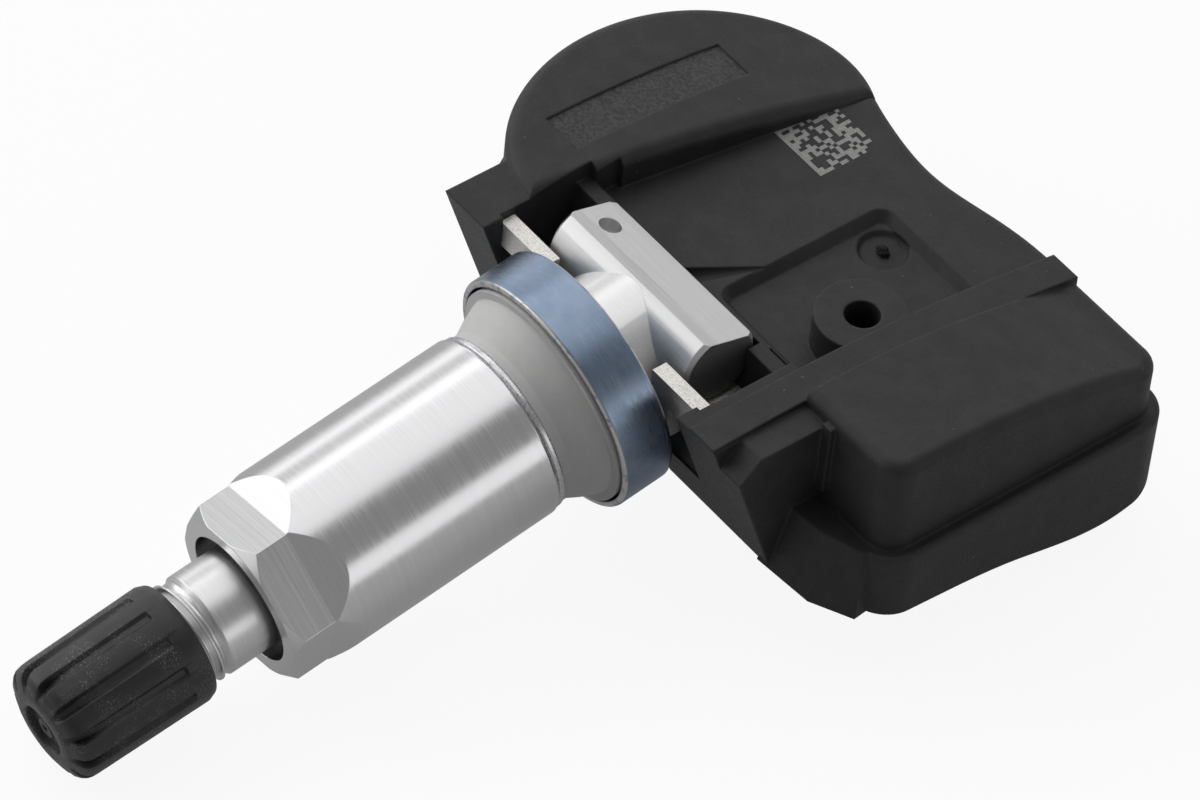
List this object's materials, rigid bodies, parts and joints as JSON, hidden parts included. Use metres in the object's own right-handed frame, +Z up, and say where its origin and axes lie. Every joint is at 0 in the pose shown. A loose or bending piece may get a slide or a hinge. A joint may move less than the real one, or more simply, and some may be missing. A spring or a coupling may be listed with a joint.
{
  "type": "tyre pressure sensor",
  "caption": "Wheel-mounted tyre pressure sensor: a moulded housing with cell and electronics, cradling a swivelling metal valve with grommet, collar nut and cap.",
  "frame": {"origin": "middle of the valve's cross bar, on the axis that the valve swivels about", "axes": "+X along the cross bar, +Y from the valve towards the back of the housing, +Z up through the housing's top; the stem leaves towards -Y, 10.5 degrees down"},
  "size_m": [0.0479, 0.0792, 0.0216],
  "materials": {
    "housing_plastic": "matte, fine grain",
    "potting_resin": "cast resin",
    "valve_aluminium": "turned, satin",
    "nut_aluminium": "turned, bright satin",
    "ring_steel": "brushed, blued",
    "washer_steel": "pressed",
    "grommet_rubber": "matte",
    "clip_steel": "sheared edge",
    "cap_plastic": "satin",
    "seal_rubber": "matte",
    "core_brass": "turned",
    "spring_steel": "drawn",
    "cell_steel": "plated",
    "tab_nickel": "plated",
    "board_laminate": "solder mask",
    "chip_moulding": "matte",
    "crystal_can": "plated",
    "ferrite": "sintered",
    "copper_wire": "enamelled",
    "capacitor_ceramic": "fired"
  },
  "bodies": {
    "housing": {"housing": "housing_plastic", "potting": "potting_resin", "circuit_board": "board_laminate", "battery_cell": "cell_steel", "battery_tab_top": "tab_nickel", "battery_tab_bottom": "tab_nickel", "sensor_chip": "chip_moulding", "transmitter_chip": "chip_moulding", "crystal": "crystal_can", "wake_coil_core": "ferrite", "wake_coil_winding": "copper_wire", "antenna": "tab_nickel", "chip_capacitor_1": "capacitor_ceramic", "chip_capacitor_2": "capacitor_ceramic", "chip_capacitor_3": "capacitor_ceramic", "chip_capacitor_4": "capacitor_ceramic", "port_seal": "seal_rubber", "retaining_clip": "clip_steel"},
    "valve": {"valve_body": "valve_aluminium", "backing_ring": "ring_steel", "grommet": "grommet_rubber", "washer": "washer_steel", "core_body": "core_brass", "core_gasket": "seal_rubber", "core_spring": "spring_steel"},
    "nut": {"collar_nut": "nut_aluminium"},
    "cap": {"valve_cap": "cap_plastic", "cap_seal": "seal_rubber"},
    "pin": {"core_pin": "core_brass", "core_seat_seal": "seal_rubber"}
  },
  "joints": [
    {"name": "valve_swivel", "type": "hinge", "parent": "housing", "child": "valve", "pos_m": [0, 0, 0], "axis": [1, 0, 0], "range_deg": [-14, 2.5]},
    {"name": "nut_unscrew", "type": "slide", "parent": "valve", "child": "nut", "axis": [0, -0.9833, -0.1822], "range_m": [0, 0.0045]},
    {"name": "cap_unscrew", "type": "slide", "parent": "valve", "child": "cap", "axis": [0, -0.9833, -0.1822], "range_m": [0, 0.012]},
    {"name": "core_pin_press", "type": "slide", "parent": "valve", "child": "pin", "axis": [0, 0.9833, 0.1822], "range_m": [0, 0.001], "stiffness_N_per_m": 600, "deforming": ["core_spring"]}
  ]
}
